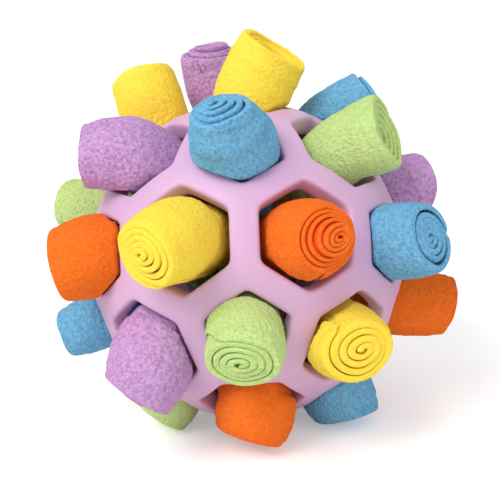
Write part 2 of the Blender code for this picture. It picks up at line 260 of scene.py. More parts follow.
def rubberMaterial():
    made, tree, shader = newMaterial("lilacRubber")
    place = addNode(tree, "ShaderNodeTexCoord").outputs["Object"]
    clouds = noiseNode(tree, place, rubberLook["clouds"], 3.0)["Fac"]
    skin = noiseNode(tree, place, rubberLook["skin"])["Fac"]
    paint = addNode(tree, "ShaderNodeMix", data_type="RGBA")
    tree.links.new(clouds, paint.inputs["Factor"])
    paint.inputs["A"].default_value = (*rubberLook["dark"], 1)
    paint.inputs["B"].default_value = (*rubberLook["light"], 1)
    tree.links.new(paint.outputs["Result"], shader.inputs["Base Color"])
    worn = addNode(tree, "ShaderNodeMapRange", {
        "Value": clouds, "To Min": rubberLook["roughness"][0], "To Max": rubberLook["roughness"][1]})
    tree.links.new(worn.outputs["Result"], shader.inputs["Roughness"])
    bump = addNode(tree, "ShaderNodeBump", {
        "Strength": rubberLook["bump"], "Distance": rubberLook["bumpDepth"], "Height": skin})
    tree.links.new(bump.outputs["Normal"], shader.inputs["Normal"])
    shader.inputs["Subsurface Weight"].default_value = rubberLook["subsurface"]
    shader.inputs["Subsurface Radius"].default_value = rubberLook["subsurfaceRadius"]
    shader.inputs["Subsurface Scale"].default_value = rubberLook["subsurfaceScale"]
    return made


rubber = rubberMaterial()
fleeces = {colour: fleeceMaterial(colour) for colour in ("orange", "yellow", "blue", "green", "purple")}
print("materials made")


cage = {
    "radius": 0.0561, "ribWidth": 0.0094, "ribDepth": 0.0071, "edgeRound": 0.0026,
    "cornerRound": 0.004, "branchShare": 0.34, "smoothing": 2, "crownShare": 0.06, "weld": 0.00005,
    "edgeCuts": 3,
}


def makeLattice():
    # an icosahedron with its corners cut off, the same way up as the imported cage
    net = bmesh.new()
    bmesh.ops.create_icosphere(net, subdivisions=1, radius=1)
    net.faces.ensure_lookup_table()
    face = net.faces[0]
    down = face.calc_center_median().normalized()
    front = (face.verts[0].co - down * face.verts[0].co.dot(down)).normalized()
    turn = Matrix((down.cross(front), front, -down)).to_4x4()
    bmesh.ops.transform(net, matrix=turn, verts=net.verts)
    side = (face.verts[0].co - face.verts[1].co).length
    bmesh.ops.bevel(net, geom=net.verts[:], offset=cage["branchShare"] * side, offset_type="OFFSET",
                    affect="VERTICES", segments=1, profile=0.5, clamp_overlap=False)
    bmesh.ops.remove_doubles(net, verts=net.verts, dist=0.0001)
    for vertex in net.verts:
        vertex.co.normalize()
    net.normal_update()
    return net


def readOpenings(net):
    found = []
    for face in net.faces:
        middle = face.calc_center_median().normalized()
        side = face.verts[0].co - middle * face.verts[0].co.dot(middle)
        side.normalize()
        other = middle.cross(side)
        corners = [(v.co.dot(side) / v.co.dot(middle), v.co.dot(other) / v.co.dot(middle))
                   for v in face.verts]
        rib = min(middle.angle((e.verts[0].co + e.verts[1].co).normalized()) for e in face.edges)
        found.append({"middle": middle, "side": side, "other": other, "corners": np.array(corners),
                      "rib": rib, "sides": len(face.verts)})
    return found


def ribTree():
    # every face is drawn in row by row, over the rib, down the wall of its opening and back inside
    tree = bpy.data.node_groups.new("ribbedCage", "GeometryNodeTree")
    addSockets(tree, [
        ("Geometry", "INPUT", "Geometry", None), ("Radius", "INPUT", "Float", None),
        ("Rib Width", "INPUT", "Float", None), ("Rib Depth", "INPUT", "Float", None),
        ("Edge Round", "INPUT", "Float", None), ("Smoothing", "INPUT", "Int", None),
        ("Material", "INPUT", "Material", None), ("Geometry", "OUTPUT", "Geometry", None),
    ])
    start = addNode(tree, "NodeGroupInput").outputs
    apothem = addNode(tree, "GeometryNodeInputNamedAttribute", {"Name": "apothem"},
                      data_type="FLOAT").outputs["Attribute"]
    outwards = addNode(tree, "ShaderNodeVectorMath", {
        0: addNode(tree, "GeometryNodeInputPosition").outputs[0]}, operation="NORMALIZE").outputs[0]
    half = mathNode(tree, "MULTIPLY", start["Rib Width"], 0.5)
    edge, depth = start["Edge Round"], start["Rib Depth"]
    flat = mathNode(tree, "SUBTRACT", half, edge)
    lower = mathNode(tree, "SUBTRACT", depth, edge)
    crown = mathNode(tree, "MULTIPLY", edge, cage["crownShare"])
    rows = [(flat, crown), (half, crown), (half, edge), (half, lower), (half, depth), (flat, depth),
            (0.0, depth)]

    def drawTo(mesh, chosen, sink):
        radius = mathNode(tree, "SUBTRACT", start["Radius"], sink)
        spot = addNode(tree, "ShaderNodeVectorMath", {0: outwards, "Scale": radius}, operation="SCALE")
        inputs = {"Geometry": mesh, "Position": spot.outputs[0]}
        if chosen:
            inputs["Selection"] = chosen
        return addNode(tree, "GeometryNodeSetPosition", inputs).outputs[0]

    mesh, before = drawTo(start["Geometry"], None, 0.0), 1.0
    inner = None
    for inset, sink in rows:
        share = mathNode(tree, "SUBTRACT", 1.0, mathNode(tree, "DIVIDE", inset, apothem))
        pulled = {"Mesh": mesh, "Offset Scale": 0.0, "Individual": True}
        if inner:
            pulled["Selection"] = inner
        extruded = addNode(tree, "GeometryNodeExtrudeMesh", pulled)
        inner = extruded.outputs["Top"]
        scaled = addNode(tree, "GeometryNodeScaleElements", {
            "Geometry": extruded.outputs["Mesh"], "Selection": inner,
            "Scale": mathNode(tree, "DIVIDE", share, before)})
        mesh, before = drawTo(scaled.outputs[0], inner, sink), share
    opened = addNode(tree, "GeometryNodeDeleteGeometry", {
        "Geometry": mesh, "Selection": inner}, domain="FACE")
    closed = addNode(tree, "GeometryNodeMergeByDistance", {
        "Geometry": opened.outputs[0], "Distance": cage["weld"]})
    rounded = addNode(tree, "GeometryNodeSubdivisionSurface", {
        "Mesh": closed.outputs[0], "Level": start["Smoothing"]})
    endMeshTree(tree, rounded.outputs[0], start["Material"])
    return tree


def setInputs(modifier, values):
    for item in modifier.node_group.interface.items_tree:
        if item.item_type == "SOCKET" and item.in_out == "INPUT" and item.name in values:
            modifier[item.identifier] = values[item.name]


def addCage(net):
    net = net.copy()
    apothem = net.faces.layers.float.new("apothem")
    for face in net.faces:
        middle = face.calc_center_median()
        face[apothem] = cage["radius"] * min(
            ((e.verts[0].co + e.verts[1].co) / 2 - middle).length for e in face.edges)
    lengths = {e: e.calc_length() for e in net.edges}
    bmesh.ops.subdivide_edges(net, edges=net.edges[:], cuts=cage["edgeCuts"])
    corners = [v for v in net.verts if len(v.link_edges) == 3]
    mean = sum(lengths.values()) / len(lengths)
    share = (cage["edgeCuts"] + 1) * cage["cornerRound"] / cage["radius"] / mean
    for corner in corners:
        for edge in corner.link_edges:
            near = edge.other_vert(corner)
            near.co = corner.co.lerp(near.co, share)
    for vertex in net.verts:
        vertex.co.normalize()
    mesh = bpy.data.meshes.new("rubber_cage_ribs")
    net.to_mesh(mesh)
    net.free()
    thing = addObject("rubber_cage_ribs", mesh)
    ribs = thing.modifiers.new("Ribs", "NODES")
    ribs.node_group = ribTree()
    setInputs(ribs, {
        "Radius": cage["radius"], "Rib Width": cage["ribWidth"], "Rib Depth": cage["ribDepth"],
        "Edge Round": cage["edgeRound"], "Smoothing": cage["smoothing"], "Material": rubber,
    })
    bakeModifiers(thing)
    thing.data.transform(Matrix.Translation(ballCentre))
    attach(thing, "cage")
    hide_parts("rubber_cage")
    return thing


lattice = makeLattice()
openings = readOpenings(lattice)
cageThing = addCage(lattice)
reach = max((v.co - ballCentre).length for v in cageThing.data.vertices)
print("cage made,", len(cageThing.data.polygons), "faces, radius", round(reach, 5))


fleece = {
    "coreRadius": 0.0006, "cutEdge": 0.0005, "rimGap": 0.00025, "innerReach": 0.034, "innerShare": 0.86,
    # the strip's mesh: columns round it (wrapTurns is what counts as the outer wrap) and rows along it,
    # with heights along the roll from the middle of the ribs
    "roundColumns": 200, "coreColumns": 30, "wrapTurns": 1.15, "rowSpacing": 0.00045, "innerRows": 10,
    "hiddenTop": -0.0055, "hiddenRows": 5, "waist": (-0.0045, 0.0012), "waistRows": 6, "bodyStart": 0.002,
    # the rounding of a cut edge: along the strip as shares of it, across the strip in degrees
    "cutShares": (0.02, 0.1, 0.25, 0.5, 0.8), "cutAngles": (15, 35, 55, 75, 90, 105, 125, 145, 165),
    "cutBluntness": 0.6,
    # the nap and the soft lumps under it, and the depth over which painted shade fills the grooves between
    # turns
    "tuftSize": 0.00095, "napDepth": 0.00045, "hiddenNap": 0.06, "grooveShadeDepth": 0.0022,
    "lumps": 0.035, "lumpLength": 0.011, "lumpTurn": 1.1, "ownTurn": 0.22, "waveTurn": 0.9,
    # angles over which the free end thins, the turn below it swells and rises to that, and the free
    # corner drops
    "freeEnd": 0.75, "freeEndPress": 0.5, "swellAngle": 0.5, "swellRise": 0.12, "swell": 0.0006,
    "cornerAngle": 0.35, "cornerDrop": 0.0012,
    # the form of the cut end, in shares of its width
    "coneCurve": 1.2, "stepEase": 0.1, "coreOvalFade": (0.1, 0.6),
    # within how many turns the slant grows, and how many turns from the free end the cloth lies loose
    # and shows its nap, with the angle over which each of them ends
    "slantTurns": 0.6, "looseTurns": 0.95, "looseEase": 1.2, "shownTurns": 1.05, "shownEase": 0.3,
    # heights between which the ribs hold the roll tight, and where it starts to take its end's form
    "neck": (-0.0045, 0.0035), "neckStart": -0.004, "ovalStart": 0.004, "endStart": 0.005,
    "rimStart": 0.002, "rimOver": 0.0003, "rimWidth": 0.95, "bendLength": 0.04,
    # what the rounding of the opening's corners and of the ribs' edges takes and leaves
    "holeFillet": 0.003, "ribTop": 0.0018, "ribTopSlope": 1.1, "ribBack": 0.0012, "ribBackSlope": 0.8,
    "leastWidth": 0.004, "mostWidth": 0.022, "halvings": 16, "gaugeStep": 5, "neckRows": 9,
    "squeezeEase": 0.02, "groundEase": 0.0007,
    # how far a roll's seat follows its lean; the pairs are for five-sided and six-sided openings
    "seatLeanShare": 0.45, "mostSeatLean": (6, 12), "seatShift": (0.0010, 0.0026), "seatShiftShare": 0.015,
}

# cell: degrees round and up; lean: how far the outer end leans off the middle of its opening, and
# towards where (0 up, 90 right); face: the same for the flat of its end; proud: how far it stands
# out; base, tip: its radius over the ribs and at its end (mm); winds: which way round it is wound;
# edge: at what angle its free end lies
rolls = {
    "front_right": dict(
        colour="orange", cell=(-68, 20), lean=(14, -168), face=(12, 150), proud=10.0, base=13.0, tip=11.3,
        winds=1, edge=180, seat=(-1.6, -1.2), pitch=0.0014, cone=0.0035, flat=0.55, step=(2.4, 0.56),
        drift=(1.6, 0.2)),
    "front_low": dict(
        colour="green", cell=(-90, -11), lean=(9, -108), face=(23, -142), proud=14.4, base=12.8, tip=12.4,
        winds=-1, edge=-40, pitch=0.0023, slack=0.00025, oval=1.2, slant=1.1),
    "front_left": dict(
        colour="yellow", cell=(-112, 20), lean=(20, -171), face=(38, -151), proud=17.8, base=13.6, tip=12.4,
        winds=-1, edge=170, seat=(0.6, 0.6), pitch=0.0021, cone=0.0018, drift=(-0.4, 1.0)),
    "front_top": dict(
        colour="blue", cell=(-90, 53), lean=(15, -114), face=(14, -33), proud=17.5, base=15.3, tip=10.6,
        winds=1, edge=15, pitch=0.002, cone=0.0025, drift=(-2.2, 0.8), reach=0.024),
    "low_right": dict(
        colour="yellow", cell=(-52, -20), lean=(36, -52), face=(25, -62), proud=13.5, base=13.8, tip=12.4,
        winds=1, edge=-40, pitch=0.0025, slack=0.0002, drift=(0.8, 0.6), slant=0.5),
    "low_left": dict(
        colour="purple", cell=(-128, -20), lean=(32, 173), face=(39, -151), proud=14.0, base=15.2, tip=13.6,
        winds=-1, edge=150, seat=(3.4, 0.4)),
    "right": dict(
        colour="blue", cell=(-30, 11), lean=(3, -113), face=(17, -30), proud=14.4, base=13.0, tip=12.8,
        winds=1, edge=100, loose=0.1, cone=0.0, drift=(-0.9, 0.7)),
    "left": dict(
        colour="orange", cell=(-150, 11), lean=(28, -140), face=(37, -127), proud=13.0, base=14.6, tip=13.8,
        winds=-1, edge=-100),
    "top_right": dict(
        colour="green", cell=(-30, 48), lean=(31, 152), face=(27, 165), proud=15.5, base=12.4, tip=13.9,
        winds=1, edge=60, seat=(2.4, -1.6), cone=-0.003),
    "top_left": dict(
        colour="purple", cell=(-150, 48), lean=(47, -152), face=(54, -142), proud=17.6, base=14.0, tip=11.8,
        winds=-1, edge=-60, seat=(-1.0, -2.2), cone=0.0, flat=0.7),
    "top": dict(
        colour="yellow", cell=(0, 90), lean=(33, 92), face=(38, 108), proud=21.1, base=14.2, tip=12.6,
        winds=1, edge=75, seat=(3.4, 0), cone=-0.003, oval=1.3),
    "side_right_low": dict(
        colour="orange", cell=(-8, -20), lean=(21, 25), face=(11, 33), proud=18.0, base=13.2, tip=12.0,
        winds=-1, edge=100, cone=0.0018, flat=0.7),
    "side_left_low": dict(
        colour="blue", cell=(-172, -20), lean=(4, -20), face=(14, -95), proud=12.6, base=11.4, tip=10.4,
        winds=1, edge=-90),
    "side_right_high": dict(
        colour="purple", cell=(8, 20), lean=(9, 90), face=(22, 143), proud=14.4, base=13.0, tip=11.8,
        winds=1, edge=60),
    "side_left_high": dict(
        colour="green", cell=(172, 20), lean=(12, -138), face=(20, -122), proud=12.6, base=12.2, tip=11.2,
        winds=-1, edge=-80),
    "back_top_right": dict(
        colour="blue", cell=(30, 53), lean=(37, -103), face=(31, -113), proud=20.2, base=13.0, tip=12.0,
        winds=-1, edge=170, cone=0.0018, flat=0.7),
    "back_top_left": dict(
        colour="yellow", cell=(150, 53), lean=(17, 0), face=(15, -65), proud=21.0, base=12.6, tip=13.0,
        winds=1, edge=180, seat=(-0.9, 0)),
    "back_top": dict(
        colour="purple", cell=(90, 48), lean=(40, 27), face=(54, 0), proud=31.5, base=14.0, tip=12.2,
        winds=-1, edge=30, pitch=0.0015, cone=0.002, flat=0.6, step=(1.2, 0.62), drift=(1.0, -0.3),
        slant=0.6),
    "back_right_low": dict(
        colour="green", cell=(30, -11), lean=(13, 140), face=(20, 140), proud=14.4, base=13.8, tip=12.0,
        winds=1, edge=50),
    "back_right_high": dict(
        colour="yellow", cell=(52, 20), lean=(13, -41), face=(18, -40), proud=17.6, base=13.8, tip=12.6,
        winds=-1, edge=140),
    "back_right": dict(
        colour="purple", cell=(67, -20), lean=(16, 135), face=(24, 135), proud=17.3, base=13.8, tip=12.6,
        winds=1, edge=-70),
    "back": dict(
        colour="orange", cell=(90, 11), lean=(11, -34), face=(16, -35), proud=14.9, base=13.8, tip=12.0,
        winds=-1, edge=30),
    "back_left": dict(
        colour="green", cell=(112, -20), lean=(15, -124), face=(25, -125), proud=17.3, base=13.8, tip=12.6,
        winds=1, edge=160),
    "back_left_high": dict(
        colour="orange", cell=(128, 20), lean=(14, 37), face=(20, 35), proud=17.6, base=13.8, tip=12.6,
        winds=-1, edge=-110),
    "back_left_low": dict(
        colour="blue", cell=(150, -11), lean=(13, 150), face=(22, 150), proud=14.6, base=13.8, tip=12.0,
        winds=1, edge=0),
    "foot_front": dict(
        colour="orange", cell=(-90, -48), lean=(37, -170), face=(32, -145), proud=9.4, base=14.2, tip=12.6,
        winds=-1, edge=170, seat=(2.2, -1.2)),
    "foot_front_right": dict(
        colour="blue", cell=(-30, -53), lean=(17, 146), face=(20, -158), proud=10.5, base=14.0, tip=12.6,
        winds=1, edge=150),
    "foot_front_left": dict(
        colour="green", cell=(-150, -53), lean=(23, -148), face=(8, -113), proud=8.2, base=12.4, tip=11.0,
        winds=-1, edge=-150),
    "foot_back": dict(
        colour="yellow", cell=(90, -53), lean=(12, 180), face=(12, 180), proud=9.4, base=13.8, tip=12.0,
        winds=1, edge=30),
    "foot_back_right": dict(
        colour="purple", cell=(30, -48), lean=(23, 167), face=(20, 160), proud=11.4, base=13.8, tip=12.6,
        winds=-1, edge=-90),
    "foot_back_left": dict(
        colour="yellow", cell=(150, -48), lean=(23, -167), face=(20, -160), proud=11.6, base=13.8, tip=12.6,
        winds=1, edge=30),
    "foot_middle": dict(
        colour="blue", cell=(0, -90), lean=(0, 0), face=(0, 0), proud=2.2, base=13.8, tip=12.6, winds=-1,
        edge=180),
}
usual = {
    # the cut end: how far its middle stands out as a cone (m) and as a step (mm, and out to what share
    # of the width), how wide the top of the cone is, and how uneven the turns lie
    "cone": 0.0015, "step": (0, 0.5), "flat": 0.15, "steps": 0.0006, "wave": 0.0009,
    # how far the core lies off the middle (mm to the right and up), and how oval end and core are
    "drift": (0.3, 0.4), "oval": 1.08, "ovalAt": 20, "coreOval": 1.3,
    # from turn to turn, the gap in that, how loose the outer turn lies, how far the free end slants
    "pitch": 0.0022, "slack": 0.00004, "loose": 0, "slant": 0.2,
    # how near the inner end comes to the ball's middle, and how far the roll sits off the middle of
    # its opening (mm to the right and up), where that doesn't follow from its lean
    "reach": 0.034, "seat": None,
}


def directionAt(around, up):
    around, up = math.radians(around), math.radians(up)
    return Vector((math.cos(around) * math.cos(up), math.sin(around) * math.cos(up), math.sin(up)))


def holeOutline(cell):
    # the sides of an opening, drawn in by half a rib and the corners' rounding, as lines and corners
    # on the plane at distance 1 from the ball's middle
    corners = cell["corners"]
    sides = np.roll(corners, -1, axis=0) - corners
    normals = np.stack([sides[:, 1], -sides[:, 0]], 1)
    normals /= np.linalg.norm(normals, axis=1, keepdims=True)
    offsets = (normals * corners).sum(1)
    normals *= np.sign(offsets)[:, None]
    half, fillet = cage["ribWidth"] / 2 / cage["radius"], fleece["holeFillet"] / cage["radius"]
    offsets = np.abs(offsets) - (half + fillet) * (1 + offsets**2)
    pairs = [[i, (i + 1) % len(corners)] for i in range(len(corners))]
    shrunk = [np.linalg.solve(normals[pair], offsets[pair]) for pair in pairs]
    return normals, offsets, np.array(shrunk)


class RollPath:
    # the line down the middle of a roll: straight inside the ball, bent outside it
    def __init__(self, roll):
        self.cell = max(openings, key=lambda o: o["middle"].dot(directionAt(*roll["cell"])))
        middle = self.cell["middle"]
        up = Vector((0, 0, 1)) if abs(middle.z) < math.cos(self.cell["rib"]) else Vector((0, 1, 0))
        up = (up - middle * up.dot(middle)).normalized()
        right = up.cross(middle)
        wide = self.cell["sides"] == 6
        lean, toward = (math.radians(a) for a in roll["lean"])
        side = up * math.cos(toward) + right * math.sin(toward)
        seat = cage["radius"] - cage["ribDepth"] / 2
        self.start = ballCentre + middle * seat
        reach = cage["ribDepth"] / 2 + roll["proud"] / 1000
        self.tip = self.start + (middle * math.cos(lean) + side * math.sin(lean)) * reach
        seatLean = min(lean * fleece["seatLeanShare"], math.radians(fleece["mostSeatLean"][wide]))
        shift = side * min(fleece["seatShift"][wide], lean * fleece["seatShiftShare"])
        if roll["seat"]:
            shift = (right * roll["seat"][0] + up * roll["seat"][1]) / 1000
        self.start += shift
        self.axis = (middle * math.cos(seatLean) + side * math.sin(seatLean)).normalized()
        face, toward = (math.radians(a) for a in roll["face"])
        side = up * math.cos(toward) + right * math.sin(toward)
        self.tipAxis = middle * math.cos(face) + side * math.sin(face)
        bend = self.axis.angle(self.tipAxis)
        self.length = (self.tip - self.start).length * (1 + fleece["bendLength"] * bend ** 2)
        self.inside = (seat - roll["reach"]) / math.cos(seatLean)
        self.innerRadius = fleece["innerReach"] * math.tan(self.cell["rib"]) * fleece["innerShare"]
        self.up = (up - self.axis * up.dot(self.axis)).normalized()
        self.right = self.up.cross(self.axis)
        self.outline = holeOutline(self.cell)

    def place(self, x, y, z):
        # points at x to the right, y up and z along the roll, as an array
        a, b = np.array(self.start), np.array(self.tip)
        ta, tb = np.array(self.axis) * self.length, np.array(self.tipAxis) * self.length
        z = np.asarray(z, float)
        u = np.clip(z / self.length, 0, 1)[..., None]
        spot = ((2 * u**3 - 3 * u**2 + 1) * a + (u**3 - 2 * u**2 + u) * ta
                + (3 * u**2 - 2 * u**3) * b + (u**3 - u**2) * tb)
        way = ((6 * u**2 - 6 * u) * a + (3 * u**2 - 4 * u + 1) * ta
               + (6 * u - 6 * u**2) * b + (3 * u**2 - 2 * u) * tb)
        way /= np.linalg.norm(way, axis=-1, keepdims=True)
        over = (z - np.clip(z, 0, self.length))[..., None]
        spot = spot + way * over
        first = np.array(self.axis)
        swing = np.cross(np.broadcast_to(first, way.shape), way)
        turn = 1 / (1 + (way @ first))[..., None]

        def turned(v):
            v = np.broadcast_to(np.array(v), way.shape)
            once = np.cross(swing, v)
            return v + once + np.cross(swing, once) * turn
        x, y = np.asarray(x)[..., None], np.asarray(y)[..., None]
        return spot + turned(self.right) * x + turned(self.up) * y

    def beyondHole(self, points):
        # how far points lie outside the wall of the opening, with what the ribs' rounding leaves free
        p = points - np.array(ballCentre)
        deep = p @ np.array(self.cell["middle"])
        gx, gy = p @ np.array(self.cell["side"]) / deep, p @ np.array(self.cell["other"]) / deep
        away = np.linalg.norm(p, axis=-1)
        normals, offsets, corners = self.outline
        best = np.full(gx.shape, np.inf)
        for a, b in zip(np.roll(corners, 1, axis=0), corners):
            way = b - a
            share = np.clip(((gx - a[0]) * way[0] + (gy - a[1]) * way[1]) / (way @ way), 0, 1)
            best = np.minimum(best, np.hypot(gx - a[0] - share * way[0], gy - a[1] - share * way[1]))
        inside = np.all([gx * n[0] + gy * n[1] <= o for n, o in zip(normals, offsets)], axis=0)
        best = np.where(inside, -best, best)
        top, bottom = cage["radius"], cage["radius"] - cage["ribDepth"]
        free = (np.clip(away - top + fleece["ribTop"], 0, 1) * fleece["ribTopSlope"]
                + np.clip(bottom + fleece["ribBack"] - away, 0, 1) * fleece["ribBackSlope"])
        return best - fleece["holeFillet"] / cage["radius"] - (free - fleece["rimGap"]) / cage["radius"]

    def room(self, heights, angles):
        # the widest that the roll may be at each height and angle, so that it stays within the ribs
        z, turn = np.meshgrid(heights, angles, indexing="ij")
        near, far = np.full(z.shape, fleece["leastWidth"]), np.full(z.shape, fleece["mostWidth"])
        for _ in range(fleece["halvings"]):
            width = (near + far) / 2
            outside = self.beyondHole(self.place(width * np.sin(turn), width * np.cos(turn), z)) > 0
            near, far = np.where(outside, near, width), np.where(outside, width, far)
        return near


def rollProfile(path, roll):
    # width along the roll, as a share of its width at the tip
    length, base = path.length, roll["base"] / roll["tip"]
    start = fleece["endStart"]
    marks = [-path.inside, fleece["neckStart"], start, (start + length) / 2,
             length - fleece["rimStart"], length + fleece["rimOver"]]
    shares = [path.innerRadius * 1000 / roll["tip"], base, base * 1.02, 0.55 + 0.48 * base,
              1.0, fleece["rimWidth"]]
    return marks, shares


def alongProfile(marks, shares, z):
    z = np.clip(z, marks[0], marks[-1])
    which = np.clip(np.searchsorted(marks, z) - 1, 0, len(marks) - 2)
    marks, shares = np.array(marks), np.array(shares)
    u = smoothStep((z - marks[which]) / (marks[which + 1] - marks[which]))
    return shares[which] * (1 - u) + shares[which + 1] * u


def stripColumns(turns, pitch):
    # angles along the strip from its core out, closer together on the outer wrap, and both cut edges
    end = math.tau * turns
    split = max(0, end - fleece["wrapTurns"] * math.tau)
    inner = np.arange(0, split, math.tau / fleece["coreColumns"])
    outer = np.arange(split, end, math.tau / fleece["roundColumns"])
    angles = np.concatenate([inner, outer, [end]])
    radius = fleece["coreRadius"] + pitch * end / math.tau
    first, last = fleece["cutEdge"] / fleece["coreRadius"], fleece["cutEdge"] / radius
    rounding = np.array(fleece["cutShares"])
    angles = angles[(angles > first) & (angles < end - last)]
    angles = np.concatenate([rounding * first, [first], angles, [end - last], end - last * rounding[::-1]])
    fromEdge = np.minimum(np.minimum(angles / first, (end - angles) / last), 1)
    return angles, np.sqrt(1 - (1 - fromEdge) ** 2), end


def stripRing(length, inside):
    # height and side of the points round the strip's section: up its outer face, over the cut, down
    # its inner one
    hidden = np.linspace(-inside, fleece["hiddenTop"], fleece["hiddenRows"])
    waist = np.linspace(*fleece["waist"], fleece["waistRows"])
    top, start = length - fleece["cutEdge"], fleece["bodyStart"]
    rows = max(4, int((top - start) / fleece["rowSpacing"]))
    rise = np.concatenate([hidden, waist, np.linspace(start, top, rows)])
    fall = np.linspace(top, -inside, fleece["innerRows"])
    arc = np.radians(fleece["cutAngles"])
    heights = np.concatenate([rise, top + fleece["cutEdge"] * np.sin(arc), fall])
    across = np.sign(np.cos(arc)) * np.abs(np.cos(arc)) ** fleece["cutBluntness"]
    sides = np.concatenate([np.ones(len(rise)), across, -np.ones(len(fall))])
    return heights, sides


def napTree():
    # the nap stands out in small round tufts where the cloth is free
    tree = bpy.data.node_groups.new("fleeceNap", "GeometryNodeTree")
    addSockets(tree, [
        ("Geometry", "INPUT", "Geometry", None), ("Tuft Size", "INPUT", "Float", None),
        ("Depth", "INPUT", "Float", None), ("Material", "INPUT", "Material", None),
        ("Geometry", "OUTPUT", "Geometry", None),
    ])
    start = addNode(tree, "NodeGroupInput").outputs
    place = addNode(tree, "GeometryNodeInputPosition").outputs[0]
    height = mathNode(tree, "SUBTRACT", addTufts(tree, place, start["Tuft Size"]), pileShape["napLevel"])
    shown = addNode(tree, "GeometryNodeInputNamedAttribute", {"Name": "shown"},
                    data_type="FLOAT").outputs["Attribute"]
    lift = mathNode(tree, "MULTIPLY", mathNode(tree, "MULTIPLY", height, start["Depth"]), shown)
    offset = addNode(tree, "ShaderNodeVectorMath", {
        0: addNode(tree, "GeometryNodeInputNormal").outputs[0],
        "Scale": lift}, operation="SCALE").outputs[0]
    raised = addNode(tree, "GeometryNodeSetPosition", {"Geometry": start["Geometry"], "Offset": offset})
    endMeshTree(tree, raised.outputs[0], start["Material"])
    return tree


nap = napTree()


